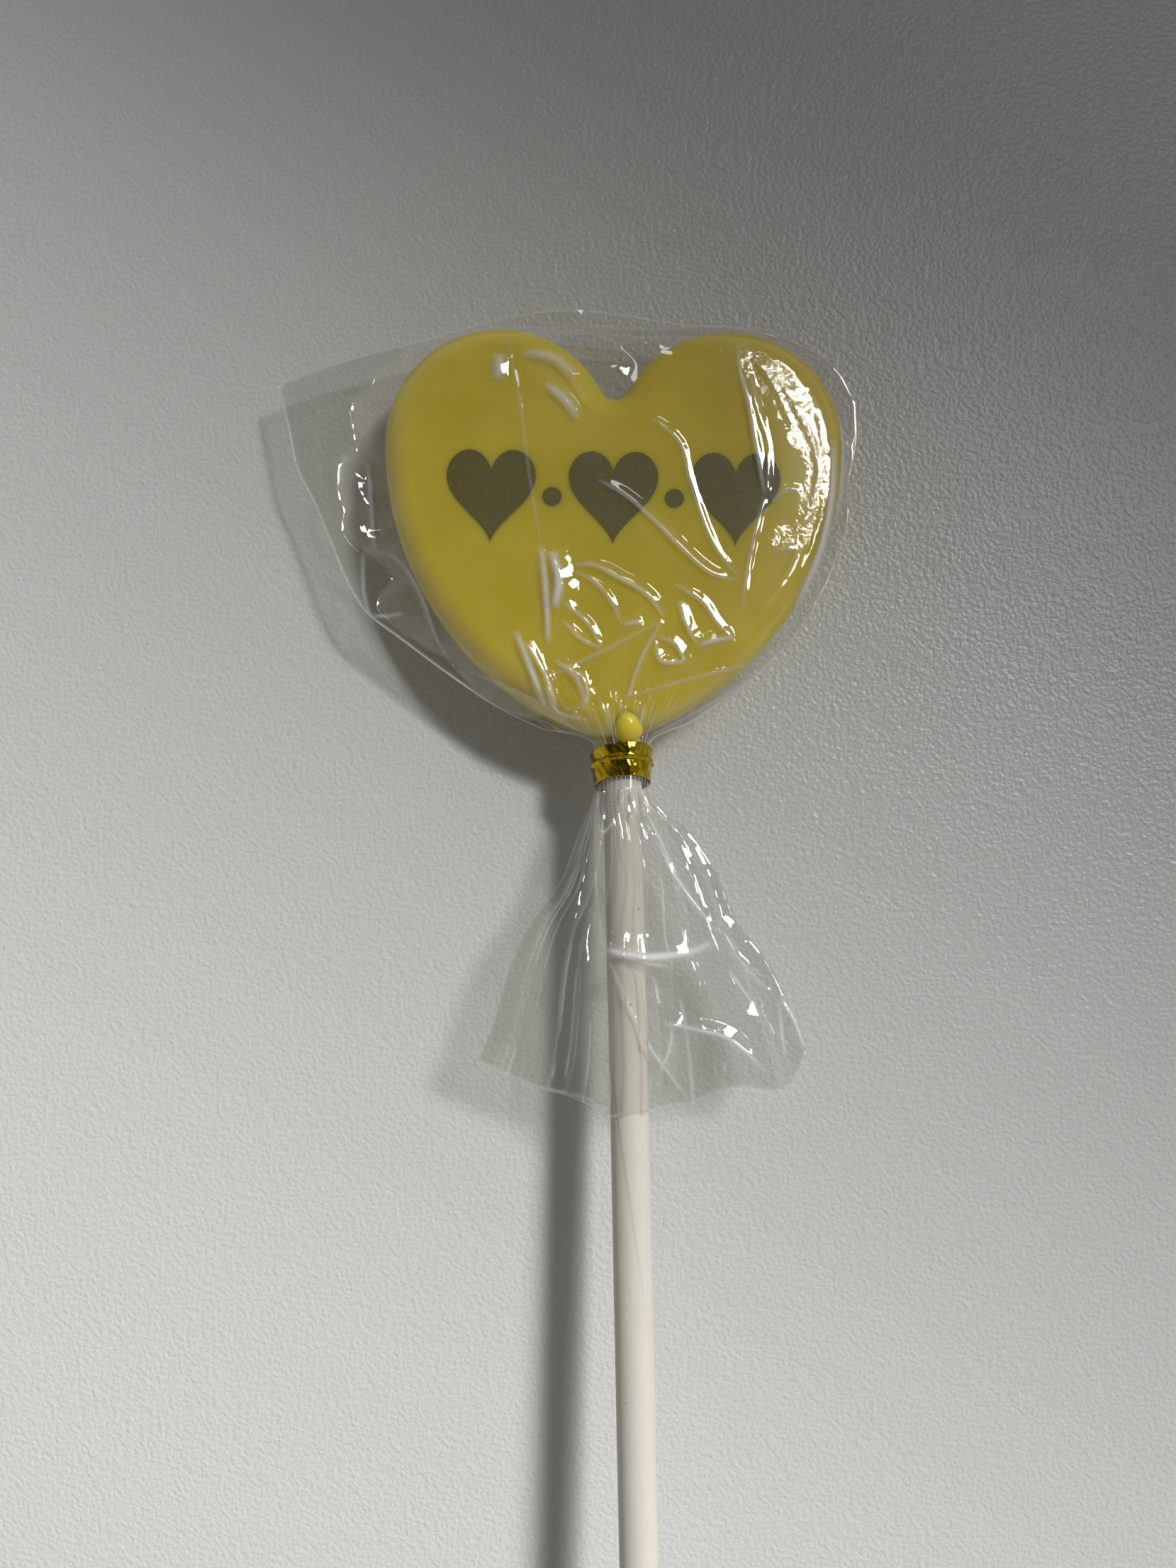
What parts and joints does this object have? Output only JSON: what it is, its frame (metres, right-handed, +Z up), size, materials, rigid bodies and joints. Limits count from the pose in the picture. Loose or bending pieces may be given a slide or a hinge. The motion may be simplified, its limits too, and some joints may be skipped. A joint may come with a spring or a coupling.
{
  "type": "lollipop",
  "caption": "Heart-shaped candy lollipop on a round paper stick, in a clear bag gathered and tied round the stick, lying on its back.",
  "frame": {"origin": "on the floor, on the stick's axis line, under the middle of the heart's flat back", "axes": "+Y along the stick towards the heart's notch, +X to the right of the printed face, +Z up out of the printed face"},
  "size_m": [0.0684, 0.17, 0.01],
  "materials": {
    "candy": "smooth, faintly waxy moulded candy, yellow right through",
    "print": "dark olive edible ink on the flat of the heart",
    "film": "thin clear wrapping film, glossy and creased",
    "tie": "gold metallised band, mirror-like with fine crinkles",
    "stick": "tightly rolled white paper, faint fibre and seam"
  },
  "bodies": {
    "root": {"candy": "candy", "bag": "film", "tie": "tie", "stick": "stick"}
  },
  "joints": []
}
